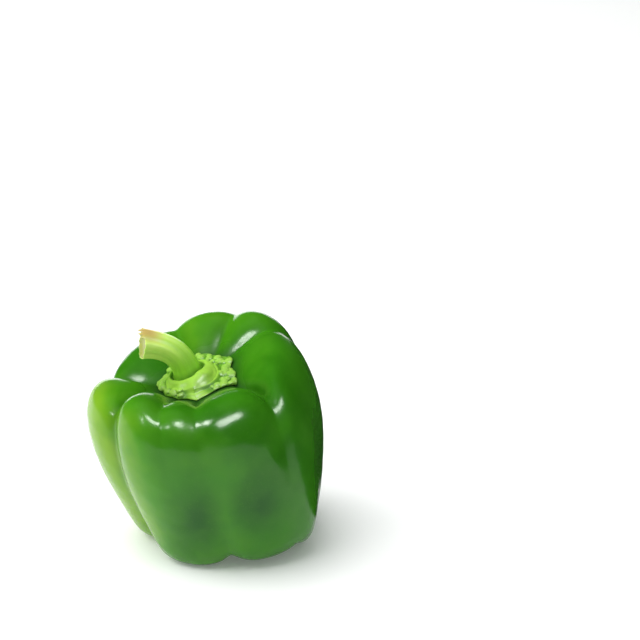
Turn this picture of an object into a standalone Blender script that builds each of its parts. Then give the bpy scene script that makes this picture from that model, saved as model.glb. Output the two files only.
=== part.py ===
"""Bell pepper: a lobed fruit that stands on its feet, with its calyx and a curved stem.

Metres, +Z up. The origin is on the surface that the fruit stands on, in the middle of the
pepper's box. Lengths here are millimetres and angles degrees until an object is made.
The fruit is one surface over t, from its seat (0) to its blossom end (1), and phi, round it.
"""
from collections import namedtuple

import bmesh
import bpy
import numpy as np

MM = 0.001

# Driving dimensions of the fruit before it leans
WALL_RADIUS = 46.0
CREST_RADIUS = 38.0
CREST_HEIGHT = 80.0
SEAT_RADIUS = 13.0
SEAT_HEIGHT = 65.0
FOOT_RADIUS = 29.0
FOOT_DROP = 6.0
BLOSSOM_HEIGHT = 12.0

# The fruit grew leaning: the angle, where it leans to, and how low the lean sets in
LEAN = 17.0
LEAN_TO = 218.0
HEEL = 15.0

# Where the fruit's upright axis stands from the origin, and its seat from that axis
AXIS_AT = (11.8, 7.33)
SEAT_AT = (-2.7, 1.2)

# Points of a lobe's outline from the seat to the blossom end, with how far each one follows the
# lobe's own reach, shoulder, rise, foot and lift and the seat's shift, and where a groove moves it
Station = namedtuple("Station", "radius height reach shoulder rise foot lift seat groove_out groove_up")
OUTLINE = (
    Station(0, SEAT_HEIGHT, 0, 0, 0, 0, 0, 1, 0, 0),
    Station(9, SEAT_HEIGHT, 0, 0, 0, 0, 0, 1, 0, 0),
    Station(SEAT_RADIUS, SEAT_HEIGHT, 0.2, 0, 0, 0, 0, 1, 0, 0),
    Station(18, SEAT_HEIGHT + 4.5, 0.4, 0, 0.5, 0, 0, 0.7, 3, -3),
    Station(26, CREST_HEIGHT - 2, 0.7, 0.2, 1, 0, 0, 0.35, 3, -8),
    Station(CREST_RADIUS, CREST_HEIGHT, 1, 0.8, 1, 0, 0, 0.1, -3, -8),
    Station(WALL_RADIUS, 66, 1, 1, 0.4, 0, 0, 0, -6, -2),
    Station(WALL_RADIUS, 44, 1, 0.2, 0.1, 0.1, 0, 0, -5, 0),
    Station(42, 22, 0.7, 0, 0, 0.5, 0.2, 0, -6, 2),
    Station(39, 3, 0.4, 0, 0, 1, 0.8, 0, -9, 8),
    Station(FOOT_RADIUS, -FOOT_DROP, 0.1, 0, 0, 0.8, 1, 0, -6, 13),
    Station(14, 2, 0, 0, 0, 0.2, 0.5, 0, -2, 8),
    Station(6, BLOSSOM_HEIGHT, 0, 0, 0, 0, 0, 0, 0, 1),
    Station(0, BLOSSOM_HEIGHT, 0, 0, 0, 0, 0, 0, 0, 0),
)

# Lobes: where each one is, how far it and its shoulder reach out, how far it rises, how far its
# foot goes out, and how far that is lifted
Lobe = namedtuple("Lobe", "angle reach shoulder rise foot lift")
LOBES = (
    Lobe(194, 1.5, 0.3, -2.4, 0, 0),
    Lobe(232, 1, 0, 5, 2, 0),
    Lobe(260, 0, 0, -2, 0, 0),
    Lobe(300, -1, 0, -4, 0.3, 5.5),
    Lobe(0, -4, -3.2, -7.6, -8, 0),
    Lobe(46, -2, 0, -2.3, -4, 0),
    Lobe(90, -3, 0, -3, 0, 0),
    Lobe(137, -2.6, 0, -6.2, 0, 0),
)
LOBE_FOCUS = 10.0

# Grooves between the lobes: angles and depths from the seat to the blossom end, and width
Groove = namedtuple("Groove", "path depth width")
GROOVES = (
    Groove((205, 215, 217, 210, 206), (1.0, 1.2, 1.0, 0.8, 0.8, 0.9), 9),
    Groove((238, 250, 252, 250, 250), (0.8, 0.8, 0.15, 0.0, 0.0, 0.0), 7),
    Groove((270, 272, 268, 266, 268), (1.3, 0.8, 0.15, 0.15, 0.5, 1.8), 9),
    Groove((341, 327, 313, 306, 312, 325), (0.8, 1.1, 1.5, 0.9, 0.1, 0.0, 0.3, 0.6), 9),
    Groove((410, 394, 386, 390, 390), (0.9, 1.1, 0.6, 0.3, 0.2, 0.2), 9),
    Groove((428, 426, 426, 432, 432), (0.8, 0.8, 0.3, 0.2, 0.5, 1.0), 9),
    Groove((468, 466, 470, 475, 475), (0.8, 0.9, 0.3, 0.0, 0.0, 0.0), 8),
    Groove((525, 527, 523, 515, 510), (0.9, 1.2, 0.8, 0.3, 0.5, 1.0), 9),
)
GROOVE_SOFTNESS = 0.25
DEEPEST_GROOVE = 1.8
FOOT_BLEND = 0.5

# Calyx: places in the seat's plane are taken from the seat's middle
GAP = 0.35
STEM_AT = (-2.4, -0.5)
COLLAR_AT = (-1.2, -2.3)
DISH_RADIUS = 6.6
DISH_HEIGHT = 3.2
COLLAR = ((3.4, DISH_HEIGHT), (DISH_RADIUS, DISH_HEIGHT), (6.9, 4.6), (7.5, 5.9), (8.5, 5.6), (9.3, 4.2), (9.8, 2.4))
SWELL = 0.5
SWELL_AT = 312.0
SWELL_FOCUS = 5.0
SKIRT = ((0.22, 1.5), (0.45, 2.0), (0.68, 1.9), (0.87, 1.6), (1.0, 1.0))
CORNERS = ((12, 14.0), (32, 15.8), (57, 15.0), (86, 16.0), (112, 14.0), (138, 16.0), (160, 14.2), (182, 14.6),
           (204, 13.0), (224, 13.6), (246, 13.3), (282, 15.0), (301, 13.2), (323, 15.2), (344, 15.4))
CORNER_FOCUS = 60.0
KNOBS = 16
KNOB_HEIGHT = 0.8

# Stem: it leaves the calyx straight out, curves over to the left and ends in a cut
STEM_RADIUS = 5.0
STEM_FOOT_FLARE = 0.8
STEM_TIP_FLARE = 0.8
FOOT_FLARE_LENGTH = 0.12
TIP_FLARE_LENGTH = 0.15
STEM_REACH = (-16.3, -4.9, 14.1)
STEM_END_DIRECTION = (-0.95, -0.25, 0.15)
STEM_PULL = 9.5
STEM_RIBS = 6
STEM_RIB_HEIGHT = 0.25
STEM_RIB_TURN = 30.0
RIB_FADE = 0.25
FOOT_BEVEL = (0.9, 0.3)
CUT_DEPTH = 0.8
CUT_RINGS = ((0.85, 0.15), (0.72, CUT_DEPTH), (0.0, CUT_DEPTH))

# How finely the solids are divided
FRUIT_RINGS = 50
FRUIT_COLUMNS_PER_GROOVE = 8
CALYX_COLUMNS = 64
STEM_RINGS = 18
STEM_COLUMNS = 24
SEAT_END = 0.4
TABLE_SIZE = 400
STEP_T = 0.003
STEP_PHI = 0.02
SHARP_ANGLE = 50.0


def spline(controls, t):
    """A uniform cubic B-spline that starts and ends on its end controls; t runs from 0 to 1."""
    c = np.asarray(controls, float)
    c = np.concatenate([c[:1], c[:1], c, c[-1:], c[-1:]])
    spans = len(c) - 3
    s = np.clip(np.asarray(t, float) * spans, 0, spans - 1e-9)
    i = s.astype(int)
    f = s - i
    weights = ((1 - f) ** 3, 3 * f**3 - 6 * f**2 + 4, 3 * (f + f**2 - f**3) + 1, f**3)
    return sum(w * c[i + k] for k, w in enumerate(weights)) / 6


def outline(field, t):
    return spline([getattr(station, field) for station in OUTLINE], t)


def around(phi, angles, values, focus):
    """Values given at some angles, blended smoothly over the whole turn."""
    near = np.exp(focus * (np.cos(phi[..., None] - np.radians(angles)) - 1))
    return (near * np.asarray(values, float)).sum(-1) / near.sum(-1)


def lobes(field, phi):
    return around(phi, [lobe.angle for lobe in LOBES], [getattr(lobe, field) for lobe in LOBES], LOBE_FOCUS)


def groove_share(t, phi):
    """How far down in a groove the surface is: 0 on a lobe's back, about 1 in a groove."""
    left = np.ones_like(phi)
    for groove in GROOVES:
        turn = phi - np.radians(spline(groove.path, t))
        off = np.abs(np.arctan2(np.sin(turn), np.cos(turn))) / np.radians(groove.width)
        off = np.hypot(off, GROOVE_SOFTNESS) - GROOVE_SOFTNESS
        left = left * (1 - np.clip(spline(groove.depth, t), 0, DEEPEST_GROOVE) * np.exp(-off))
    return 1 - left


def lean(points):
    """Leans the upright fruit over; below the surface nothing moves, so that its feet stay level."""
    towards = np.array([np.cos(np.radians(LEAN_TO)), np.sin(np.radians(LEAN_TO)), 0])
    slope = np.tan(np.radians(LEAN))
    height = points[..., 2]
    up = np.clip(height, 0, None)
    grown = 1 - np.exp(-up / HEEL)
    angle = np.arctan(slope * grown)
    across = points @ towards
    moved = points + (across * (np.cos(angle) - 1) + slope * (up - HEEL * grown))[..., None] * towards
    moved[..., 2] = height - across * np.sin(angle)
    return moved


def fruit_surface(t, phi):
    """Points of the fruit's skin, in millimetres from the origin."""
    share = groove_share(t, phi)
    radius = outline("radius", t) + share * outline("groove_out", t)
    radius = radius + sum(outline(field, t) * lobes(field, phi) for field in ("reach", "shoulder", "foot"))
    height = outline("height", t) + share * outline("groove_up", t)
    height = height + sum(outline(field, t) * lobes(field, phi) for field in ("rise", "lift"))
    shift = outline("seat", t)
    x = radius * np.cos(phi) + shift * SEAT_AT[0]
    y = radius * np.sin(phi) + shift * SEAT_AT[1]
    points = lean(np.stack([x, y, height], -1))
    z = points[..., 2]
    soft = (z + FOOT_BLEND) ** 2 / (4 * FOOT_BLEND)
    points[..., 2] = np.where(z < -FOOT_BLEND, 0, np.where(z > FOOT_BLEND, z, soft))
    return points + (*AXIS_AT, 0)


def even_steps(count):
    """Values of t whose points on the outline lie the same distance apart."""
    t = np.linspace(0, 1, TABLE_SIZE)
    walked = np.hypot(np.diff(outline("radius", t)), np.diff(outline("height", t))).cumsum()
    return np.interp(np.linspace(0, walked[-1], count), np.append(0, walked), t)


def fruit_columns(t, per_groove):
    """Angles of the mesh's columns, with one column along the bottom of each groove."""
    lines = np.radians([spline(groove.path, t) for groove in GROOVES])
    lines = np.concatenate([lines, lines[:1] + 2 * np.pi])
    place = np.arange(len(GROOVES) * per_groove) / per_groove
    i = place.astype(int)
    return lines[i] + (lines[i + 1] - lines[i]) * (place - i)[:, None]


def over_seat(x, y, height):
    """Points over the fruit's seat: x and y from its middle, height along its surface's normal."""
    table = np.linspace(0, SEAT_END, TABLE_SIZE)
    t = np.interp(np.hypot(x, y), outline("radius", table), table)
    t = np.maximum(t, table[1])
    phi = np.arctan2(y, x)
    point = fruit_surface(t, phi)
    normal = np.cross(fruit_surface(t + STEP_T, phi) - point, fruit_surface(t, phi + STEP_PHI) - point)
    normal /= np.linalg.norm(normal, axis=-1, keepdims=True)
    return point + normal * np.asarray(height)[..., None]


def fruit_rings():
    t = even_steps(FRUIT_RINGS)
    phi = fruit_columns(t, FRUIT_COLUMNS_PER_GROOVE).T
    return fruit_surface(np.broadcast_to(t[:, None], phi.shape), phi)


def calyx_rings():
    """Rings from the dish that holds the stem, over the collar and skirt, and back underneath."""
    phi = np.linspace(0, 2 * np.pi, CALYX_COLUMNS, endpoint=False)
    circle = np.stack([np.cos(phi), np.sin(phi)])
    edge = around(phi, [angle for angle, _ in CORNERS], [radius for _, radius in CORNERS], CORNER_FOCUS) * circle
    stem_at = np.array(STEM_AT)[:, None]
    collar_at = np.array(COLLAR_AT)[:, None]
    collar_radius = COLLAR[-1][0]
    swell = SWELL * np.exp(SWELL_FOCUS * (np.cos(phi - np.radians(SWELL_AT)) - 1))
    places = [stem_at + 0 * circle]
    heights = [DISH_HEIGHT + 0 * phi]
    for radius, height in COLLAR:
        slide = max(0.0, (radius - DISH_RADIUS) / (collar_radius - DISH_RADIUS))
        places.append(stem_at + slide * (collar_at - stem_at) + radius * circle)
        heights.append(height + swell * max(0.0, height - DISH_HEIGHT))
    foot = places[-1]
    for number, (share, height) in enumerate(SKIRT):
        knobs = np.clip(np.cos(KNOBS * phi + np.pi * (number % 2)), 0, None) * np.sin(np.pi * share)
        places.append(foot + share * (edge - foot))
        heights.append(height + KNOB_HEIGHT * knobs)
    top = [over_seat(*place, height + GAP) for place, height in zip(places, heights)]
    under = [over_seat(*place, GAP + 0 * phi) for place in places[:0:-2] + places[:1]]
    return np.array(top + under)


def stem_path(share):
    """Points along the stem's centreline, and its direction there."""
    start = over_seat(np.array(STEM_AT[0]), np.array(STEM_AT[1]), DISH_HEIGHT + 2 * GAP)
    out = over_seat(np.array(STEM_AT[0]), np.array(STEM_AT[1]), DISH_HEIGHT + 2 * GAP + 1) - start
    end = start + STEM_REACH
    end_direction = np.array(STEM_END_DIRECTION) / np.linalg.norm(STEM_END_DIRECTION)
    bends = (start, start + STEM_PULL * out, end - STEM_PULL * end_direction, end)
    s = share[:, None]
    points = (1 - s) ** 3 * bends[0] + 3 * (1 - s) ** 2 * s * bends[1]
    points = points + 3 * (1 - s) * s**2 * bends[2] + s**3 * bends[3]
    legs = [later - sooner for sooner, later in zip(bends, bends[1:])]
    direction = (1 - s) ** 2 * legs[0] + 2 * (1 - s) * s * legs[1] + s**2 * legs[2]
    return points, direction / np.linalg.norm(direction, axis=-1, keepdims=True)


def stem_rings():
    """Rings from the stem's foot to its cut end, which is slightly hollow."""
    share = np.linspace(0, 1, STEM_RINGS)
    middle, direction = stem_path(share)
    side = np.cross(direction, (0, -1, 0.3))
    side /= np.linalg.norm(side, axis=-1, keepdims=True)
    other = np.cross(side, direction)
    phi = np.linspace(0, 2 * np.pi, STEM_COLUMNS, endpoint=False)
    circle = side[:, None] * np.cos(phi)[:, None] + other[:, None] * np.sin(phi)[:, None]
    flare = STEM_FOOT_FLARE * np.exp(-share / FOOT_FLARE_LENGTH)
    flare = flare + STEM_TIP_FLARE * np.exp((share - 1) / TIP_FLARE_LENGTH)
    turn = STEM_RIBS * (phi - np.radians(STEM_RIB_TURN))
    ribs = STEM_RIB_HEIGHT * np.cos(turn) * np.clip(share / RIB_FADE, 0, 1)[:, None]
    radius = STEM_RADIUS + flare[:, None] + ribs
    rings = list(middle[:, None] + radius[..., None] * circle)
    narrower, higher = FOOT_BEVEL
    first = [middle[:1] + 0 * circle[0], middle[:1] + narrower * radius[0][:, None] * circle[0]]
    rings[0] = rings[0] + higher * direction[0]
    for width, depth in CUT_RINGS:
        rings.append(middle[-1] - depth * direction[-1] + width * radius[-1][:, None] * circle[-1])
    return np.array(first + rings)


def material(name, colour, roughness):
    made = bpy.data.materials.new(name)
    made.use_nodes = True
    shader = made.node_tree.nodes["Principled BSDF"]
    shader.inputs["Base Color"].default_value = (*colour, 1)
    shader.inputs["Roughness"].default_value = roughness
    shader.inputs["Metallic"].default_value = 0
    made.diffuse_color = (*colour, 1)
    return made


def solid(name, rings, finish):
    """A closed body from rings of points, of which the first and last are one point each."""
    bm = bmesh.new()
    first = bm.verts.new(rings[0][0] * MM)
    loops = [[bm.verts.new(point * MM) for point in ring] for ring in rings[1:-1]]
    last = bm.verts.new(rings[-1][0] * MM)
    count = len(loops[0])
    for k in range(count):
        after = (k + 1) % count
        bm.faces.new((first, loops[0][k], loops[0][after]))
        bm.faces.new((last, loops[-1][after], loops[-1][k]))
        for inner, outer in zip(loops, loops[1:]):
            bm.faces.new((inner[k], outer[k], outer[after], inner[after]))
    bmesh.ops.recalc_face_normals(bm, faces=bm.faces)
    mesh = bpy.data.meshes.new(name)
    bm.to_mesh(mesh)
    bm.free()
    mesh.materials.append(finish)
    mesh.shade_smooth()
    mesh.set_sharp_from_angle(angle=np.radians(SHARP_ANGLE))
    thing = bpy.data.objects.new(name, mesh)
    bpy.context.scene.collection.objects.link(thing)
    return thing


def fruit():
    return solid("fruit", fruit_rings(), material("fruit_skin", (0.06, 0.24, 0.02), 0.28))


def calyx():
    return solid("calyx", calyx_rings(), material("calyx_green", (0.24, 0.52, 0.07), 0.5))


def stem():
    return solid("stem", stem_rings(), material("stem_green", (0.32, 0.56, 0.1), 0.45))


def main():
    for thing in list(bpy.data.objects):
        bpy.data.objects.remove(thing)
    fruit()
    calyx()
    stem()


main()
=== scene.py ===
"""Looks of the bell pepper: finely modelled skin, warty calyx and ribbed stem in soft studio light.

Lengths are millimetres and angles degrees until an object is made. The forms repeat the solid
model's own formulas, so each piece lies where its node lies, and add the relief that it leaves out.
The seat's inner wall and the calyx's collar are a little rounder here, and two creases behind the
seat are shallower.
"""
from collections import namedtuple

import bpy
import numpy as np
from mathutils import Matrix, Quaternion, Vector


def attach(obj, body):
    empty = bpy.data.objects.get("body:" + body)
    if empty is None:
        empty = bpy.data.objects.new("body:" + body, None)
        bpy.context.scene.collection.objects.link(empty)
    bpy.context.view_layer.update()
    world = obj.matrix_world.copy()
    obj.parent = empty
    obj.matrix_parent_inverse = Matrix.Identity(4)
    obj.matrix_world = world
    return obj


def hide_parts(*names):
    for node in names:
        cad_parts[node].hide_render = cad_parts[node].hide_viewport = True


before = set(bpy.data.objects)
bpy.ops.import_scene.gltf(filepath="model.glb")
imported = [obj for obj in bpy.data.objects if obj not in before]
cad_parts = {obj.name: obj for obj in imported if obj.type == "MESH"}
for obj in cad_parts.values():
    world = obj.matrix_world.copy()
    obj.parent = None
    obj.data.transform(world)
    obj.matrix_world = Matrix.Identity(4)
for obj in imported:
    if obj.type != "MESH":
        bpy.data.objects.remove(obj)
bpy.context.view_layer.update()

MM = 0.001
TINY = 1e-9
RNG_SEED = 7

# Driving dimensions of the fruit before it leans
WALL_RADIUS = 46.0
CREST_RADIUS = 38.0
CREST_HEIGHT = 80.0
SEAT_RADIUS = 13.0
SEAT_HEIGHT = 65.0
FOOT_RADIUS = 29.0
FOOT_DROP = 6.0
BLOSSOM_HEIGHT = 12.0
LEAN = 17.0
LEAN_TO = 218.0
HEEL = 15.0
AXIS_AT = (11.8, 7.33)
SEAT_AT = (-2.7, 1.2)

# The outline from the seat's middle over the crest to the blossom end: radius and height, how far
# it follows each field of the lobes and the shift of the seat, and how far a groove moves it
Station = namedtuple("Station", "radius height reach shoulder rise foot lift seat groove_out groove_up")
OUTLINE = (
    Station(0, SEAT_HEIGHT, 0, 0, 0, 0, 0, 1, 0, 0),
    Station(9, SEAT_HEIGHT, 0, 0, 0, 0, 0, 1, 0, 0),
    Station(SEAT_RADIUS, SEAT_HEIGHT, 0.2, 0, 0, 0, 0, 1, 0, 0),
    Station(17.3, SEAT_HEIGHT + 4.8, 0.4, 0, 0.5, 0, 0, 0.7, 3, -3),
    Station(25.8, CREST_HEIGHT - 2.5, 0.7, 0.2, 1, 0, 0, 0.35, 3, -7),
    Station(CREST_RADIUS, CREST_HEIGHT, 1, 0.8, 1, 0, 0, 0.1, -3, -8),
    Station(WALL_RADIUS, 66, 1, 1, 0.4, 0, 0, 0, -6, -2),
    Station(WALL_RADIUS, 44, 1, 0.2, 0.1, 0.1, 0, 0, -5, 0),
    Station(42, 22, 0.7, 0, 0, 0.5, 0.2, 0, -6, 2),
    Station(39, 3, 0.4, 0, 0, 1, 0.8, 0, -9, 8),
    Station(FOOT_RADIUS, -FOOT_DROP, 0.1, 0, 0, 0.8, 1, 0, -6, 13),
    Station(14, 2, 0, 0, 0, 0.2, 0.5, 0, -2, 8),
    Station(6, BLOSSOM_HEIGHT, 0, 0, 0, 0, 0, 0, 0, 1),
    Station(0, BLOSSOM_HEIGHT, 0, 0, 0, 0, 0, 0, 0, 0),
)

# The lobes: angle, how much farther out each goes (reach, shoulder and foot) and how much higher
# (rise at the crest and lift at the foot)
Lobe = namedtuple("Lobe", "angle reach shoulder rise foot lift")
LOBES = (
    Lobe(194, 1.5, 0.3, -2.4, 0, 0),
    Lobe(232, 1, 0, 5, 2, 0),
    Lobe(260, 0, 0, -2, 0, 0),
    Lobe(300, -1, 0, -4, 0.3, 5.5),
    Lobe(0, -4, -3.2, -7.6, -8, 0),
    Lobe(46, -2, 0, -2.3, -4, 0),
    Lobe(90, -3, 0, -3, 0, 0),
    Lobe(137, -2.6, 0, -6.2, 0, 0),
)
LOBE_FOCUS = 10.0

# The grooves: angle and depth from the seat to the blossom end, and half width
Groove = namedtuple("Groove", "path depth width")
GROOVES = (
    Groove((205, 215, 217, 210, 206), (1.0, 1.2, 1.0, 0.8, 0.8, 0.9), 9),
    Groove((238, 250, 252, 250, 250), (0.8, 0.8, 0.15, 0.0, 0.0, 0.0), 7),
    Groove((270, 272, 268, 266, 268), (1.3, 0.8, 0.15, 0.15, 0.5, 1.8), 9),
    Groove((341, 327, 313, 306, 312, 325), (0.8, 1.1, 1.5, 0.9, 0.1, 0.0, 0.3, 0.6), 9),
    Groove((410, 394, 386, 390, 390), (0.9, 0.62, 0.6, 0.3, 0.2, 0.2), 9),
    Groove((428, 426, 426, 432, 432), (0.8, 0.65, 0.3, 0.2, 0.5, 1.0), 9),
    Groove((468, 466, 470, 475, 475), (0.8, 0.9, 0.3, 0.0, 0.0, 0.0), 8),
    Groove((525, 527, 523, 515, 510), (0.9, 1.2, 0.8, 0.3, 0.5, 1.0), 9),
)
GROOVE_SOFTNESS = 0.25
DEEPEST_GROOVE = 1.8
FOOT_BLEND = 0.5

# Unevenness: height, width of its bumps and number of its random draw
Uneven = namedtuple("Uneven", "height width draw")
SKIN_WAVES = Uneven(0.06, 15.0, 1)
SKIN_DENTS = Uneven(0.03, 6.0, 2)
COLLAR_WAVES = Uneven(0.22, 4.5, 5)
WAVES_TO_SUM = 16
WAVE_SPREAD = (0.75, 1.4)
UPRIGHT_SQUEEZE = 0.35
CALM_WIDTH = 8.0

# Colour of the skin: how much sun each lobe had outside the crest and inside it, partly its own
# lighter colour and partly painted light where the light falls; where on the outline the two meet,
# and the middle and half size of the patches of painted shade, across the front and up
OUTER_SUN_AND_LIGHT = (1.0, 0.62, 0.3, 0.12, 0.1, 0.2, 0.4, 0.2)
INNER_SUN_AND_LIGHT = (0.35, 0.15, 0.1, 0.15, 0.35, 0.3, 0.55, 0.2)
INNER_SUN_AND_LIGHT_END = 0.33
SUN_AND_LIGHT_BLEND = 0.1
FRONT_SHADE_PATCHES = ((-2, 25, 10, 18), (20, 31, 10, 13))
FRONT_BLEND = 10.0

# Calyx: its gap to the fruit and the stem, the dish, the collar's radius and height over the seat,
# and the skirt round it
GAP = 0.35
STEM_AT = (-2.4, -0.5)
COLLAR_AT = (-1.2, -2.3)
DISH_RADIUS = 6.6
DISH_HEIGHT = 3.2
DISH_BLEND = 0.6
COLLAR = ((3.4, DISH_HEIGHT), (5.8, DISH_HEIGHT), (6.2, 4.9), (6.9, 6.0), (7.9, 5.9), (9.0, 4.8), (9.8, 3.0))
COLLAR_FADE = 5.0
SWELL = 0.5
SWELL_AT = 312.0
SWELL_FOCUS = 5.0
TOP_RADIUS = 7.8
DIP = 0.35
DIP_AT = 165.0
DIP_FOCUS = 1.0
SKIRT_HEIGHTS = (1.5, 2.0, 1.9, 1.6, 1.0)
SKIRT_SINK = 0.4
SINK_SHARE = 1 / 3
RIM_SHARE = 0.1
EDGE_HEIGHT = 0.3
# Corners of the skirt's edge: angle and distance from the seat's middle
CORNERS = (
    (12, 14.0), (32, 15.8), (57, 15.0), (86, 16.0), (112, 14.0), (138, 16.0), (160, 14.2), (182, 14.6),
    (204, 13.0), (224, 13.6), (246, 13.3), (272, 13.9), (287, 14.1), (303, 13.2), (323, 15.2), (344, 15.4),
)
CORNER_FOCUS = 60.0

# The smooth tongue in which the collar runs out at the front
TONGUE_ANGLE = 275.0
TONGUE_WIDTH = 28.0
TONGUE_RISE = 0.8
TONGUE_FOCUS = 14.0

# Warts of the calyx: angle and distance from the seat's middle, and radius
BIG_WARTS = (
    (214, 12.3, 1.56), (228, 12.6, 1.68), (241, 12.2, 1.68), (349, 10.4, 1.68), (0, 11.8, 1.8),
    (350, 14.2, 1.8), (338, 16.3, 1.68), (326, 16.6, 1.8), (317, 14.6, 1.68), (330, 12.0, 1.32),
    (84, 14.0, 1.56), (68, 12.6, 1.44), (53, 13.4, 1.68), (38, 12.0, 1.68), (27, 14.6, 1.68),
    (14, 12.6, 1.56), (306, 14.0, 1.44), (192, 13.4, 1.68), (174, 13.4, 1.56), (158, 13.0, 1.56),
    (140, 14.4, 1.68), (124, 12.6, 1.56), (104, 13.6, 1.68),
)
SMALL_WARTS = 95
SMALL_WART_RADII = (0.8, 1.35)
SMALL_WART_PLACES = (0.15, 1.0)
NARROW_SKIRT = 2.5
NARROW_PLACE = 0.5
WART_STAND = 0.7
WART_GROWTH = 6

# Stem; lengths along it are shares of the whole
STEM_RADIUS = 5.0
STEM_FOOT_FLARE = 0.8
STEM_TIP_FLARE = 0.8
FOOT_FLARE_LENGTH = 0.12
TIP_FLARE_LENGTH = 0.15
STEM_REACH = (-16.3, -4.9, 14.1)
STEM_END_DIRECTION = (-0.95, -0.25, 0.15)
STEM_PULL = 9.5
STEM_SIDE = (0, -1, 0.3)
STEM_BOTTOM_SHARE = 0.9
STEM_BOTTOM_ROUNDING = 0.3
RIBS = 6
RIB_HEIGHT = 0.25
RIB_TURN = 30.0
RIB_SHARPNESS = 0.4
RIB_START = 0.25
LINES = 17
LINE_HEIGHT = 0.05
LINE_BENDS = 3
LINE_BEND = 2.0
LINE_TWIST = 3.0
LINE_START = 1 / 6

# The stem's cut end: share of the radius and depth of each ring, and what tears out of its edge
CUT_RINGS = ((0.97, -0.05), (0.92, 0.0), (0.85, 0.2), (0.72, 0.7), (0.4, 0.9), (0.0, 0.8))
CUT_EDGE = 0.2
DRY_ANGLE = 15.0
SLIVERS = 23
SLIVER_ANGLE = 42.0
SLIVER_LENGTH = 3.0
SLIVER_SPREAD = 0.09
SLIVER_NOTCH = 0.35
BURRS = (29, 13)
BURR_HEIGHT = 0.12
# How far the last two rings of the stem and the first two of the cut are pulled out with it
TORN_RINGS = (0.25, 0.75, 1.0, 0.7)

# How finely the pieces are divided
FRUIT_RINGS = 280
FRUIT_COLUMNS_PER_GROOVE = 44
CALYX_COLUMNS = 640
COLLAR_RINGS = 50
SKIRT_RINGS = 80
UNDERSIDE_STEP = 6
STEM_COLUMNS = 120
STEM_RINGS = 90
SEAT_END = 0.4
TABLE_SIZE = 400
STEP_T = 0.003
STEP_PHI = 0.02

# Colours, as linear red, green and blue
SKIN_GREENS = ((0.022, 0.14, 0.003), (0.036, 0.195, 0.005))
# The sunny and yellow greens: partly the skin's own lighter colour, partly painted light where the light
# falls
SUNNY_AND_LIT_GREEN = (0.07, 0.27, 0.006)
YELLOW_GREEN = (0.17, 0.345, 0.014)
# Painted shade: in the grooves, in the seat round the calyx and in patches on the front
GROOVE_SHADE_GREEN = (0.015, 0.09, 0.003)
SEAT_SHADE_GREEN = (0.008, 0.06, 0.002)
FRONT_SHADE_GREEN = (0.009, 0.085, 0.003)
SPECK_GREEN = (0.2, 0.5, 0.06)
SCAR_BROWN = (0.25, 0.16, 0.06)
CALYX_GREENS = ((0.1, 0.28, 0.015), (0.14, 0.36, 0.022))
WART_GREEN = (0.28, 0.52, 0.07)
COLLAR_GREEN = (0.33, 0.61, 0.06)
DISH_SHADE_GREEN = (0.06, 0.24, 0.01)
STEM_GREENS = ((0.33, 0.77, 0.034), (0.62, 0.88, 0.16))
STEM_CLOUD_GREEN = (0.42, 0.8, 0.07)
STEM_VALLEY_SHADE_GREEN = (0.25, 0.6, 0.04)
STEM_FOOT_SHADE_GREEN = (0.08, 0.3, 0.01)
DRY_TAN = (0.55, 0.4, 0.11)
CUT_GREEN = (0.3, 0.33, 0.07)
TABLE_WHITES = ((0.9, 0.9, 0.9), (0.92, 0.92, 0.92))
CARD_BLACK = (0.01, 0.01, 0.01)

# Where on the outline the skin's colour or gloss changes, with the painted shade in the seat
SEAT_SHADE = (0.2, 0.31)
SEAT_MATT = (0.2, 0.3)
SCAR_EDGE = (0.975, 0.99)

# Camera: the photograph's view, without roll and from 20 degrees above the table
ELEVATION = 20.0
DISTANCE = 800.0
PIXELS_PER_MM = 2.58
FRAME_PIXELS = 640
AXIS_PIXEL = (240.0, 528.0)
SENSOR = 36.0
CLIP_END = 20.0

# Studio, in metres; azimuth 0 is at +X and 90 behind the pepper. A light with gloss makes only
# highlights, and one without it only matt colour
Softbox = namedtuple("Softbox", "name azimuth elevation distance width height radiance gloss roll")
SOFTBOXES = (
    Softbox("overhead", 195, 68, 1.5, 1.6, 1.6, 4.0, False, 0),
    Softbox("left", 178, 18, 1.5, 1.0, 0.8, 3.0, False, 0),
    Softbox("key", 249, 38.5, 1.2, 0.31, 0.25, 44, True, 0),
    Softbox("low_left", 225, 22, 1.2, 0.13, 0.2, 30, True, 0),
    Softbox("front_right", 296, 37, 1.2, 0.76, 0.31, 31, True, 28),
    Softbox("backdrop", 97, 4, 1.5, 1.3, 0.42, 3.0, True, 0),
)
AIM_HEIGHT = 0.05
WORLD_COLOUR = (0.95, 1.0, 0.97)
WORLD_STRENGTH = 0.4
FAR = 3.0
CARD_HEIGHT = 0.001
TABLE = ((-FAR, -FAR), (FAR, -FAR), (FAR, FAR), (-FAR, FAR))
# A dark card round the pale table, in front, at the far left and on the right; only gloss shows it
CARD = (
    (-FAR, -FAR), (FAR, -FAR), (FAR, FAR), (0.05, FAR), (0.05, 0.01), (0.15, -0.06), (0.2, -0.09),
    (0.2, -0.24), (-0.12, -0.24), (-0.16, -0.1), (-FAR, -0.1),
)


def spline(controls, t):
    """A uniform cubic B-spline that starts and ends on its end controls; t runs from 0 to 1."""
    c = np.asarray(controls, float)
    c = np.concatenate([c[:1], c[:1], c, c[-1:], c[-1:]])
    spans = len(c) - 3
    s = np.clip(np.asarray(t, float) * spans, 0, spans - TINY)
    i = s.astype(int)
    f = s - i
    weights = ((1 - f) ** 3, 3 * f**3 - 6 * f**2 + 4, 3 * (f + f**2 - f**3) + 1, f**3)
    return sum(w * c[i + k] for k, w in enumerate(weights)) / 6


def outline(field, t):
    return spline([getattr(station, field) for station in OUTLINE], t)


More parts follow.
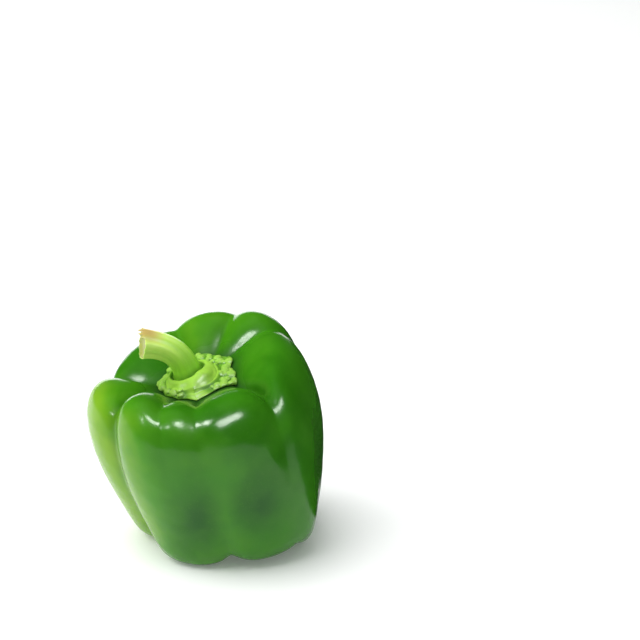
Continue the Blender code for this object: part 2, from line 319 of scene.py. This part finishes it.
def around(phi, angles, values, focus):
    """Values given at some angles, blended smoothly over the whole turn."""
    near = np.exp(focus * (np.cos(phi[..., None] - np.radians(angles)) - 1))
    return (near * np.asarray(values, float)).sum(-1) / near.sum(-1)


def bulge(phi, angle, focus):
    """A smooth rise to 1 at one angle, narrower the higher the focus."""
    return np.exp(focus * (np.cos(phi - np.radians(angle)) - 1))


def over_lobes(phi, values):
    """One value for each lobe, blended smoothly over the whole turn."""
    return around(phi, [lobe.angle for lobe in LOBES], values, LOBE_FOCUS)


def groove_share(t, phi):
    """How far down in a groove the surface is: 0 on a lobe's back, about 1 in a groove."""
    left = np.ones_like(phi)
    for groove in GROOVES:
        turn = phi - np.radians(spline(groove.path, t))
        off = np.abs(np.arctan2(np.sin(turn), np.cos(turn))) / np.radians(groove.width)
        off = np.hypot(off, GROOVE_SOFTNESS) - GROOVE_SOFTNESS
        left = left * (1 - np.clip(spline(groove.depth, t), 0, DEEPEST_GROOVE) * np.exp(-off))
    return 1 - left


def lean(points):
    """Leans the upright fruit over; below the surface nothing moves, so that its feet stay level."""
    towards = np.array([np.cos(np.radians(LEAN_TO)), np.sin(np.radians(LEAN_TO)), 0])
    slope = np.tan(np.radians(LEAN))
    height = points[..., 2]
    up = np.clip(height, 0, None)
    grown = 1 - np.exp(-up / HEEL)
    angle = np.arctan(slope * grown)
    across = points @ towards
    moved = points + (across * (np.cos(angle) - 1) + slope * (up - HEEL * grown))[..., None] * towards
    moved[..., 2] = height - across * np.sin(angle)
    return moved


def follow_lobes(t, phi, fields):
    """How far the lobes move the outline by way of some of their fields."""
    return sum(outline(field, t) * over_lobes(phi, [getattr(lobe, field) for lobe in LOBES])
               for field in fields)


def fruit_surface(t, phi):
    """Points of the fruit's skin, in millimetres from the origin."""
    share = groove_share(t, phi)
    radius = outline("radius", t) + share * outline("groove_out", t)
    radius = radius + follow_lobes(t, phi, ("reach", "shoulder", "foot"))
    height = outline("height", t) + share * outline("groove_up", t)
    height = height + follow_lobes(t, phi, ("rise", "lift"))
    shift = outline("seat", t)
    x = radius * np.cos(phi) + shift * SEAT_AT[0]
    y = radius * np.sin(phi) + shift * SEAT_AT[1]
    points = lean(np.stack([x, y, height], -1))
    z = points[..., 2]
    soft = (z + FOOT_BLEND) ** 2 / (4 * FOOT_BLEND)
    points[..., 2] = np.where(z < -FOOT_BLEND, 0, np.where(z > FOOT_BLEND, z, soft))
    return points + (*AXIS_AT, 0)


def even_steps(count):
    """Values of t whose points on the outline lie the same distance apart."""
    t = np.linspace(0, 1, TABLE_SIZE)
    walked = np.hypot(np.diff(outline("radius", t)), np.diff(outline("height", t))).cumsum()
    return np.interp(np.linspace(0, walked[-1], count), np.append(0, walked), t)


def fruit_columns(t, per_groove):
    """Angles of the mesh's columns, with one column along the bottom of each groove."""
    lines = np.radians([spline(groove.path, t) for groove in GROOVES])
    lines = np.concatenate([lines, lines[:1] + 2 * np.pi])
    place = np.arange(len(GROOVES) * per_groove) / per_groove
    i = place.astype(int)
    return lines[i] + (lines[i + 1] - lines[i]) * (place - i)[:, None]


def over_seat(x, y, height):
    """Points over the fruit's seat: x and y from its middle, height along its surface's normal."""
    table = np.linspace(0, SEAT_END, TABLE_SIZE)
    t = np.interp(np.hypot(x, y), outline("radius", table), table)
    t = np.maximum(t, table[1])
    phi = np.arctan2(y, x)
    point = fruit_surface(t, phi)
    normal = np.cross(fruit_surface(t + STEP_T, phi) - point, fruit_surface(t, phi + STEP_PHI) - point)
    normal /= np.linalg.norm(normal, axis=-1, keepdims=True)
    return point + normal * np.asarray(height)[..., None]


def ripple(points, uneven):
    """Smooth unevenness, the sum of waves that run in random directions."""
    rng = np.random.default_rng(RNG_SEED + uneven.draw)
    total = np.zeros(points.shape[:-1])
    for _ in range(WAVES_TO_SUM):
        direction = rng.normal(size=3)
        direction /= np.linalg.norm(direction)
        pitch = uneven.width * rng.uniform(*WAVE_SPREAD)
        total += np.sin(2 * np.pi * (points @ direction) / pitch + rng.uniform(0, 2 * np.pi))
    return uneven.height * total / np.sqrt(WAVES_TO_SUM)


def normals_of(grid):
    """Outward normals of a grid of points whose columns run round."""
    down = np.gradient(grid, axis=0)
    across = (np.roll(grid, -1, 1) - np.roll(grid, 1, 1)) / 2
    normal = np.cross(down, across)
    return normal / np.maximum(np.linalg.norm(normal, axis=-1, keepdims=True), TINY)


def sun_and_light_on_skin(t, phi):
    """How much sun the skin has had, from 0 to 1, partly its own lighter colour and partly painted light."""
    outer = over_lobes(phi, OUTER_SUN_AND_LIGHT)
    inner = over_lobes(phi, INNER_SUN_AND_LIGHT)
    return inner + (outer - inner) * np.clip((t - INNER_SUN_AND_LIGHT_END) / SUN_AND_LIGHT_BLEND, 0, 1)


def front_shade_patches(grid):
    """How dark the painted shade is: 1 in the middle of a patch on the front, and 0 far from the patches."""
    x, y, z = grid[..., 0], grid[..., 1], grid[..., 2]
    patches = [np.exp(-(((x - across) / wide) ** 2) - ((z - up) / tall) ** 2)
               for across, up, wide, tall in FRONT_SHADE_PATCHES]
    return np.clip(-y / FRONT_BLEND, 0, 1) * np.max(patches, axis=0)


def fruit_rings():
    """The fruit's rings from the seat's middle to the blossom end, and the marks that its finish reads."""
    t = even_steps(FRUIT_RINGS)
    phi = fruit_columns(t, FRUIT_COLUMNS_PER_GROOVE).T
    t = np.broadcast_to(t[:, None], phi.shape)
    grid = fruit_surface(t, phi)
    relief = ripple(grid * (1, 1, UPRIGHT_SQUEEZE), SKIN_WAVES) + ripple(grid, SKIN_DENTS)
    calm = np.clip((outline("radius", t) - SEAT_RADIUS) / CALM_WIDTH, 0, 1)
    grid = grid + (relief * calm)[..., None] * normals_of(grid)
    grid[..., 2] = np.maximum(grid[..., 2], 0)
    grid[0] = grid[0].mean(0)
    grid[-1] = grid[-1].mean(0)
    groove = np.clip(groove_share(t, phi), 0, 1)
    return grid, {"front_shade": front_shade_patches(grid), "groove": groove, "station": t, "sun_and_light": sun_and_light_on_skin(t, phi)}


def wart_list(foot, edge):
    """Middles and radii of the calyx's warts: the big ones, and small ones strewn over the skirt."""
    rng = np.random.default_rng(RNG_SEED)
    angles, reaches, big_sizes = np.array(BIG_WARTS).T
    angles = np.radians(angles)
    big = np.stack([reaches * np.cos(angles), reaches * np.sin(angles)], -1)
    column = rng.integers(0, foot.shape[1], SMALL_WARTS)
    share = rng.uniform(*SMALL_WART_PLACES, SMALL_WARTS)
    room = edge[:, column] - foot[:, column]
    share[np.linalg.norm(room, axis=0) < NARROW_SKIRT] = NARROW_PLACE
    small = (foot[:, column] + share * room).T
    sizes = np.concatenate([big_sizes, rng.uniform(*SMALL_WART_RADII, SMALL_WARTS)])
    middles = np.concatenate([big, small])
    turn = np.arctan2(middles[:, 1], middles[:, 0]) - np.radians(TONGUE_ANGLE)
    beside = np.abs(np.degrees(np.arctan2(np.sin(turn), np.cos(turn)))) > TONGUE_WIDTH
    return middles[beside], sizes[beside]


def wart_relief(points, middles, sizes):
    """How far round warts stand out of the surface, with creases between neighbours."""
    relief = np.zeros(points.shape[:-1])
    for middle, size in zip(middles, sizes):
        near = 1 - ((points - middle) ** 2).sum(-1) / size**2
        relief = np.maximum(relief, size * np.sqrt(np.clip(near, 0, None)))
    return relief


def collar_rings(phi, circle, tongue):
    """Places over the seat, heights and dish mark, from the dish's middle to the collar's foot."""
    share = np.linspace(0, 1, COLLAR_RINGS)
    profile = np.array([(0, DISH_HEIGHT), *COLLAR])
    radius, height = spline(profile[:, 0], share)[:, None], spline(profile[:, 1], share)[:, None]
    foot_radius = COLLAR[-1][0]
    slide = np.clip((radius - DISH_RADIUS) / (foot_radius - DISH_RADIUS), 0, 1)[..., None]
    stem_at = np.array(STEM_AT)[:, None]
    collar_at = np.array(COLLAR_AT)[:, None]
    places = stem_at + slide * (collar_at - stem_at) + radius[..., None] * circle
    swell = SWELL * bulge(phi, SWELL_AT, SWELL_FOCUS) - DIP * bulge(phi, DIP_AT, DIP_FOCUS)
    outward = np.clip((radius - TOP_RADIUS) / (foot_radius - TOP_RADIUS), 0, 1)
    heights = height + swell * np.clip(height - DISH_HEIGHT, 0, None) + TONGUE_RISE * tongue * outward**2
    dish = np.clip((DISH_RADIUS + DISH_BLEND / 2 - radius) / DISH_BLEND, 0, 1)
    return places, heights, dish + 0 * phi


def skirt_rings(foot, edge, tongue):
    """Places over the seat, heights and collar mark, from the collar's foot to the calyx's edge."""
    share = np.linspace(0, 1, SKIRT_RINGS)[1:, None]
    places = foot + share[..., None] * (edge - foot)
    rim = np.sqrt(1 - np.clip((share - 1 + RIM_SHARE) / RIM_SHARE, 0, 1) ** 2)
    heights = spline([COLLAR[-1][1], *SKIRT_HEIGHTS], share) - SKIRT_SINK * np.clip(share / SINK_SHARE, 0, 1)
    heights = EDGE_HEIGHT + rim * (heights - EDGE_HEIGHT)
    heights = heights + rim * TONGUE_RISE * tongue * (1 - share**2)
    return places, heights, np.maximum(np.exp(-COLLAR_FADE * share), tongue)


def calyx_rings():
    """Rings from the dish that holds the stem, over the collar and the warty skirt, and back below."""
    phi = np.linspace(0, 2 * np.pi, CALYX_COLUMNS, endpoint=False)
    circle = np.stack([np.cos(phi), np.sin(phi)])
    edge = around(phi, *zip(*CORNERS), CORNER_FOCUS) * circle
    foot = np.array(COLLAR_AT)[:, None] + COLLAR[-1][0] * circle
    tongue = bulge(phi, TONGUE_ANGLE, TONGUE_FOCUS)
    collar, collar_heights, dish = collar_rings(phi, circle, tongue)
    skirt, skirt_heights, fade = skirt_rings(foot, edge, tongue)
    places = np.concatenate([collar, skirt])
    heights = np.concatenate([collar_heights, skirt_heights])
    collar_mark = np.concatenate([np.ones_like(collar_heights), fade])
    dish = np.concatenate([dish, np.zeros_like(skirt_heights)])

    x, y = places[:, 0], places[:, 1]
    top = over_seat(x, y, heights + GAP)
    middles, sizes = wart_list(foot, edge)
    nearest = [((x - middle[0]) ** 2 + (y - middle[1]) ** 2).argmin() for middle in middles]
    warts = wart_relief(top, top.reshape(-1, 3)[nearest], sizes)
    warts[:COLLAR_RINGS] *= np.linspace(0, 1, COLLAR_RINGS)[:, None] ** WART_GROWTH
    uneven = ripple(top, COLLAR_WAVES) * collar_mark * np.clip(heights - DISH_HEIGHT, 0, 1)
    top = top + (WART_STAND * warts + uneven)[..., None] * normals_of(top)
    below = [*range(len(places) - 1, 0, -UNDERSIDE_STEP), 0]
    under = over_seat(x[below], y[below], GAP)
    marks = {"wart": warts, "collar": collar_mark, "dish": dish}
    marks = {name: np.concatenate([mark, mark[below]]) for name, mark in marks.items()}
    return np.concatenate([top, under]), marks


def stem_path(share):
    """Points along the stem's centreline, and its direction there."""
    x, y = np.array(STEM_AT[0]), np.array(STEM_AT[1])
    start = over_seat(x, y, DISH_HEIGHT + 2 * GAP)
    out = over_seat(x, y, DISH_HEIGHT + 2 * GAP + 1) - start
    end = start + STEM_REACH
    end_direction = np.array(STEM_END_DIRECTION) / np.linalg.norm(STEM_END_DIRECTION)
    bends = (start, start + STEM_PULL * out, end - STEM_PULL * end_direction, end)
    s = share[:, None]
    points = (1 - s) ** 3 * bends[0] + 3 * (1 - s) ** 2 * s * bends[1]
    points = points + 3 * (1 - s) * s**2 * bends[2] + s**3 * bends[3]
    legs = [later - sooner for sooner, later in zip(bends, bends[1:])]
    direction = (1 - s) ** 2 * legs[0] + 2 * (1 - s) * s * legs[1] + s**2 * legs[2]
    return points, direction / np.linalg.norm(direction, axis=-1, keepdims=True)


def stem_radius(share, phi):
    """The stem's radius with its flares, ribs and fine lengthwise lines, and where its valleys are."""
    share = share[:, None]
    flare = STEM_FOOT_FLARE * np.exp(-share / FOOT_FLARE_LENGTH)
    flare = flare + STEM_TIP_FLARE * np.exp((share - 1) / TIP_FLARE_LENGTH)
    turn = RIBS * (phi - np.radians(RIB_TURN))
    ribs = RIB_HEIGHT * (np.cos(turn) + RIB_SHARPNESS * np.cos(2 * turn))
    lines = LINE_HEIGHT * np.cos(LINES * phi + LINE_BEND * np.sin(LINE_BENDS * phi) + LINE_TWIST * share)
    radius = STEM_RADIUS + flare + ribs * np.clip(share / RIB_START, 0, 1)
    return radius + lines * np.clip(share / LINE_START, 0, 1), -np.cos(turn)


def torn_edge(phi):
    """How far the cut edge is torn out along the stem: slivers on one side and burrs all round."""
    slivers = np.exp(-((np.cos(phi - np.radians(SLIVER_ANGLE)) - 1) / SLIVER_SPREAD) ** 2)
    slivers = slivers * (1 - SLIVER_NOTCH + SLIVER_NOTCH * np.cos(SLIVERS * phi))
    return SLIVER_LENGTH * slivers + BURR_HEIGHT * sum(np.cos(count * phi) for count in BURRS)


def stem_rings():
    """Rings from the stem's foot to its cut end, which is slightly hollow and ragged on top."""
    share = np.linspace(0, 1, STEM_RINGS)
    middle, direction = stem_path(share)
    side = np.cross(direction, STEM_SIDE)
    side /= np.linalg.norm(side, axis=-1, keepdims=True)
    other = np.cross(side, direction)
    phi = np.linspace(0, 2 * np.pi, STEM_COLUMNS, endpoint=False)
    circle = side[:, None] * np.cos(phi)[:, None] + other[:, None] * np.sin(phi)[:, None]
    radius, valley = stem_radius(share, phi)
    rings = list(middle[:, None] + radius[..., None] * circle)
    bottom = [middle[0] + width * radius[0][:, None] * circle[0] for width in (0, STEM_BOTTOM_SHARE)]
    rings[0] = rings[0] + STEM_BOTTOM_ROUNDING * direction[0]
    for width, depth in CUT_RINGS:
        rings.append(middle[-1] - depth * direction[-1] + width * radius[-1][:, None] * circle[-1])
    torn = torn_edge(phi)[:, None] * direction[-1]
    for ring, pull in enumerate(TORN_RINGS, STEM_RINGS - 2):
        rings[ring] = rings[ring] + pull * torn
    rings = np.array(bottom + rings)
    along = np.concatenate([np.zeros(len(bottom)), share, np.ones(len(CUT_RINGS))])
    cut = np.concatenate([np.zeros(len(bottom) + len(share)), np.linspace(CUT_EDGE, 1, len(CUT_RINGS))])
    top = np.cos(phi - np.radians(DRY_ANGLE))
    marks = {"along": along[:, None], "cut": cut[:, None], "top": top, "valley": valley}
    return rings, {name: np.broadcast_to(mark, rings.shape[:2]) for name, mark in marks.items()}


def add(name, data):
    """A new object in the scene."""
    thing = bpy.data.objects.new(name, data)
    bpy.context.scene.collection.objects.link(thing)
    return thing


def piece(name, rings, marks, finish):
    """A closed smooth mesh from rings, of which the first and last are one point each."""
    count = rings.shape[1]
    middle = rings[1:-1].reshape(-1, 3)
    verts = np.concatenate([rings[:1, 0], middle, rings[-1:, 0]]) * MM
    rows = len(rings) - 2
    k = np.arange(count)
    after = (k + 1) % count
    faces = [(0, 1 + a, 1 + b) for a, b in zip(k, after)]
    for row in range(rows - 1):
        low, high = 1 + row * count, 1 + (row + 1) * count
        faces += [(low + a, high + a, high + b, low + b) for a, b in zip(k, after)]
    base = 1 + (rows - 1) * count
    last = 1 + rows * count
    faces += [(last, base + b, base + a) for a, b in zip(k, after)]
    mesh = bpy.data.meshes.new(name)
    mesh.from_pydata(verts.tolist(), [], [tuple(int(i) for i in face) for face in faces])
    for mark, values in marks.items():
        flat = np.concatenate([values[:1, 0], values[1:-1].reshape(-1), values[-1:, 0]])
        layer = mesh.attributes.new(mark, "FLOAT", "POINT")
        layer.data.foreach_set("value", flat.astype(np.float32))
    mesh.materials.append(finish)
    mesh.shade_smooth()
    return add(name, mesh)


class Finish:
    """A material whose nodes are added by short calls."""

    def __init__(self, name, roughness, **shader_values):
        self.material = bpy.data.materials.new(name)
        self.material.use_nodes = True
        self.tree = self.material.node_tree
        self.shader = self.tree.nodes["Principled BSDF"]
        self.shader.inputs["Roughness"].default_value = roughness
        for socket, value in shader_values.items():
            self.shader.inputs[socket.replace("_", " ")].default_value = value
        self.place = self.tree.nodes.new("ShaderNodeTexCoord").outputs["Object"]

    def link(self, source, target):
        """Feeds a socket from another one, or sets it to a plain value."""
        if isinstance(source, bpy.types.NodeSocket):
            self.tree.links.new(source, target)
        else:
            target.default_value = source

    def noise(self, size_mm, detail=2.0, warp=0.0):
        node = self.tree.nodes.new("ShaderNodeTexNoise")
        node.inputs["Scale"].default_value = 1 / (size_mm * MM)
        node.inputs["Detail"].default_value = detail
        node.inputs["Distortion"].default_value = warp
        self.link(self.place, node.inputs["Vector"])
        return node.outputs["Fac"]

    def cells(self, size_mm):
        node = self.tree.nodes.new("ShaderNodeTexVoronoi")
        node.inputs["Scale"].default_value = 1 / (size_mm * MM)
        self.link(self.place, node.inputs["Vector"])
        return node.outputs["Distance"]

    def mark(self, name):
        """A value that the mesh has at each of its points."""
        node = self.tree.nodes.new("ShaderNodeAttribute")
        node.attribute_name = name
        return node.outputs["Fac"]

    def span(self, value, low, high, to_low=0.0, to_high=1.0):
        """Turns values from low to high smoothly into values from to_low to to_high."""
        node = self.tree.nodes.new("ShaderNodeMapRange")
        node.interpolation_type = "SMOOTHSTEP"
        self.link(value, node.inputs["Value"])
        for socket, number in zip(("From Min", "From Max", "To Min", "To Max"), (low, high, to_low, to_high)):
            node.inputs[socket].default_value = number
        return node.outputs["Result"]

    def math(self, operation, a, b):
        node = self.tree.nodes.new("ShaderNodeMath")
        node.operation = operation
        self.link(a, node.inputs[0])
        self.link(b, node.inputs[1])
        return node.outputs["Value"]

    def mix(self, share, a, b):
        node = self.tree.nodes.new("ShaderNodeMix")
        node.data_type = "RGBA"
        self.link(share, node.inputs["Factor"])
        for socket, colour in (("A", a), ("B", b)):
            target = [s for s in node.inputs if s.name == socket and s.type == "RGBA"][0]
            self.link(colour if isinstance(colour, bpy.types.NodeSocket) else (*colour, 1), target)
        return [s for s in node.outputs if s.type == "RGBA"][0]

    def bump(self, height, depth_mm, below=None):
        node = self.tree.nodes.new("ShaderNodeBump")
        node.inputs["Distance"].default_value = depth_mm * MM
        self.link(height, node.inputs["Height"])
        if below is not None:
            self.link(below, node.inputs["Normal"])
        return node.outputs["Normal"]

    def finish(self, colour, normal, roughness=None):
        self.link(colour, self.shader.inputs["Base Color"])
        self.link(normal, self.shader.inputs["Normal"])
        if roughness is not None:
            self.link(roughness, self.shader.inputs["Roughness"])
        return self.material


def skin_finish():
    """Waxy green skin: lighter where the sun reached it and, as painted light, where the light falls; cloudy;
    with painted shade in the grooves, round the calyx and in patches on the front.
    """
    made = Finish("pepper_skin", 0.24, Specular_IOR_Level=0.23, Coat_Weight=0.065, Coat_Roughness=0.08,
                  Subsurface_Weight=0.06, Subsurface_Radius=(0.5, 1.0, 0.2), Subsurface_Scale=0.002)
    station = made.mark("station")
    clouds = made.span(made.noise(26, detail=3, warp=0.4), 0.3, 0.7)
    colour = made.mix(clouds, *SKIN_GREENS)
    # Partly the skin's own colour, partly painted light: lobes and faces that the light falls on are lighter
    sun_and_light = made.math("ADD", made.mark("sun_and_light"), made.span(made.noise(18), 0.3, 0.7, -0.12, 0.12))
    colour = made.mix(made.span(sun_and_light, 0.1, 0.6, 0, 0.6), colour, SUNNY_AND_LIT_GREEN)
    colour = made.mix(made.span(sun_and_light, 0.48, 0.95), colour, YELLOW_GREEN)
    # Painted shade in the grooves
    colour = made.mix(made.span(made.mark("groove"), 0.6, 1.1, 0, 0.5), colour, GROOVE_SHADE_GREEN)
    # Painted shade in the seat round the calyx
    colour = made.mix(made.span(station, *SEAT_SHADE, 0.9, 0), colour, SEAT_SHADE_GREEN)
    # Painted shade: soft darker patches on the front
    front_shade = made.math("MULTIPLY", made.mark("front_shade"), made.span(made.noise(12), 0.35, 0.65, 0.75, 1.0))
    colour = made.mix(front_shade, colour, FRONT_SHADE_GREEN)
    colour = made.mix(made.span(made.cells(1.1), 0.05, 0.28, 0.06, 0), colour, SPECK_GREEN)
    colour = made.mix(made.span(station, *SCAR_EDGE), colour, SCAR_BROWN)
    pores = made.bump(made.noise(0.9, detail=1), 0.012)
    normal = made.bump(made.noise(3.2), 0.05, pores)
    worn = made.span(made.noise(9), 0.3, 0.7, 0.19, 0.26)
    roughness = made.math("ADD", worn, made.span(station, *SEAT_MATT, 0.4, 0))
    return made.finish(colour, normal, roughness)


def calyx_finish():
    """Half matt yellow-green, lighter on the warts and the collar, with painted shade in the dish."""
    made = Finish("calyx_skin", 0.36, Specular_IOR_Level=0.4, Subsurface_Weight=0.12,
                  Subsurface_Radius=(0.6, 1.0, 0.3), Subsurface_Scale=0.0015)
    colour = made.mix(made.noise(3), *CALYX_GREENS)
    colour = made.mix(made.span(made.mark("wart"), 0.1, 1.0), colour, WART_GREEN)
    colour = made.mix(made.span(made.mark("collar"), 0.3, 0.9), colour, COLLAR_GREEN)
    # Painted shade in the dish round the stem's foot
    colour = made.mix(made.span(made.mark("dish"), 0, 1, 0, 0.8), colour, DISH_SHADE_GREEN)
    return made.finish(colour, made.bump(made.noise(0.8), 0.05))


def stem_finish():
    """Light green, lighter towards the tip, with painted shade in the valleys and at the foot, tan where it
    has dried.
    """
    made = Finish("stem_skin", 0.36, Specular_IOR_Level=0.4, Subsurface_Weight=0.12,
                  Subsurface_Radius=(0.6, 1.0, 0.3), Subsurface_Scale=0.0015)
    along = made.mark("along")
    colour = made.mix(made.span(along, 0.05, 0.9), *STEM_GREENS)
    colour = made.mix(made.span(made.noise(5), 0.45, 0.7, 0, 0.35), colour, STEM_CLOUD_GREEN)
    # Painted shade in the valleys between the ribs
    colour = made.mix(made.span(made.mark("valley"), 0, 1, 0, 0.3), colour, STEM_VALLEY_SHADE_GREEN)
    # Painted shade at the foot, where the stem stands in the calyx
    colour = made.mix(made.span(along, 0.05, 0.18, 0.6, 0), colour, STEM_FOOT_SHADE_GREEN)
    dry = made.math("MULTIPLY", made.span(along, 0.7, 0.95), made.span(made.mark("top"), 0.2, 0.95))
    colour = made.mix(dry, colour, DRY_TAN)
    colour = made.mix(made.span(made.mark("cut"), 0.1, 0.4), colour, CUT_GREEN)
    return made.finish(colour, made.bump(made.noise(1.2, detail=3), 0.05))


def table_finish():
    """Matt white that glows faintly, so that it stays white under the soft light."""
    made = Finish("white_table", 0.6, Specular_IOR_Level=0.2, Emission_Strength=0.12,
                  Emission_Color=(1, 1, 1, 1))
    return made.finish(made.mix(made.noise(60), *TABLE_WHITES), made.bump(made.noise(2), 0.005))


def camera():
    """Looks level along +Y and down by the elevation, with the pepper's axis at its place in the frame."""
    e = np.radians(ELEVATION)
    right = np.array([1, 0, 0])
    up = np.array([0, np.sin(e), np.cos(e)])
    back = np.array([0, -np.cos(e), np.sin(e)])
    centre = FRAME_PIXELS / 2
    aside = (AXIS_PIXEL[0] - centre) / PIXELS_PER_MM
    below = (centre - AXIS_PIXEL[1]) / PIXELS_PER_MM
    eye = np.array([*AXIS_AT, 0]) + back * DISTANCE - right * aside - up * below
    data = bpy.data.cameras.new("camera")
    data.sensor_width = SENSOR
    data.lens = PIXELS_PER_MM * DISTANCE / FRAME_PIXELS * SENSOR
    data.clip_end = CLIP_END
    thing = add("camera", data)
    thing.location = Vector(eye * MM)
    thing.rotation_euler = (np.radians(90 - ELEVATION), 0, 0)
    bpy.context.scene.camera = thing


def set_rays(thing, camera=True, gloss=True, colour=True, shadow=True):
    """Chooses where a light or a card is seen: by the camera, in gloss, in matt colour and as a shadow."""
    thing.visible_camera = camera
    thing.visible_glossy = gloss
    thing.visible_diffuse = colour
    thing.visible_transmission = colour
    thing.visible_shadow = shadow


def softbox(box):
    """An area light that faces the pepper."""
    a, e = np.radians(box.azimuth), np.radians(box.elevation)
    way = Vector((np.cos(a) * np.cos(e), np.sin(a) * np.cos(e), np.sin(e)))
    data = bpy.data.lights.new(box.name, "AREA")
    data.shape = "RECTANGLE"
    data.size, data.size_y = box.width, box.height
    data.energy = box.radiance * np.pi * box.width * box.height
    thing = add(box.name, data)
    thing.location = Vector((0, 0, AIM_HEIGHT)) + way * box.distance
    roll = Quaternion((0, 0, 1), np.radians(box.roll))
    thing.rotation_euler = (way.to_track_quat("Z", "Y") @ roll).to_euler()
    set_rays(thing, gloss=box.gloss, colour=not box.gloss)


def plate(name, corners, height, finish):
    """A level surface that is part of the stage."""
    mesh = bpy.data.meshes.new(name)
    mesh.from_pydata([(x, y, height) for x, y in corners], [], [tuple(range(len(corners)))])
    mesh.materials.append(finish)
    thing = add(name, mesh)
    return thing


def studio():
    """Wide soft lights give the colour, small softboxes the highlights, and a dark card calms the gloss."""
    world = bpy.data.worlds.new("studio")
    world.use_nodes = True
    background = world.node_tree.nodes["Background"]
    background.inputs["Color"].default_value = (*WORLD_COLOUR, 1)
    background.inputs["Strength"].default_value = WORLD_STRENGTH
    bpy.context.scene.world = world
    world.cycles_visibility.glossy = False
    bpy.context.scene.view_settings.view_transform = "Standard"
    for box in SOFTBOXES:
        softbox(box)
    plate("floor", TABLE, 0, table_finish())
    black = Finish("dark_card", 1.0, Specular_IOR_Level=0.0, Base_Color=(*CARD_BLACK, 1))
    set_rays(plate("card", CARD, CARD_HEIGHT, black.material), camera=False, colour=False, shadow=False)


def dress(name, made, finish):
    """Puts the fine piece in place of its node."""
    thing = piece(name, *made, finish)
    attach(thing, "root")
    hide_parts(name.split("_")[0])


dress("fruit_body", fruit_rings(), skin_finish())
dress("calyx_body", calyx_rings(), calyx_finish())
dress("stem_body", stem_rings(), stem_finish())
camera()
studio()
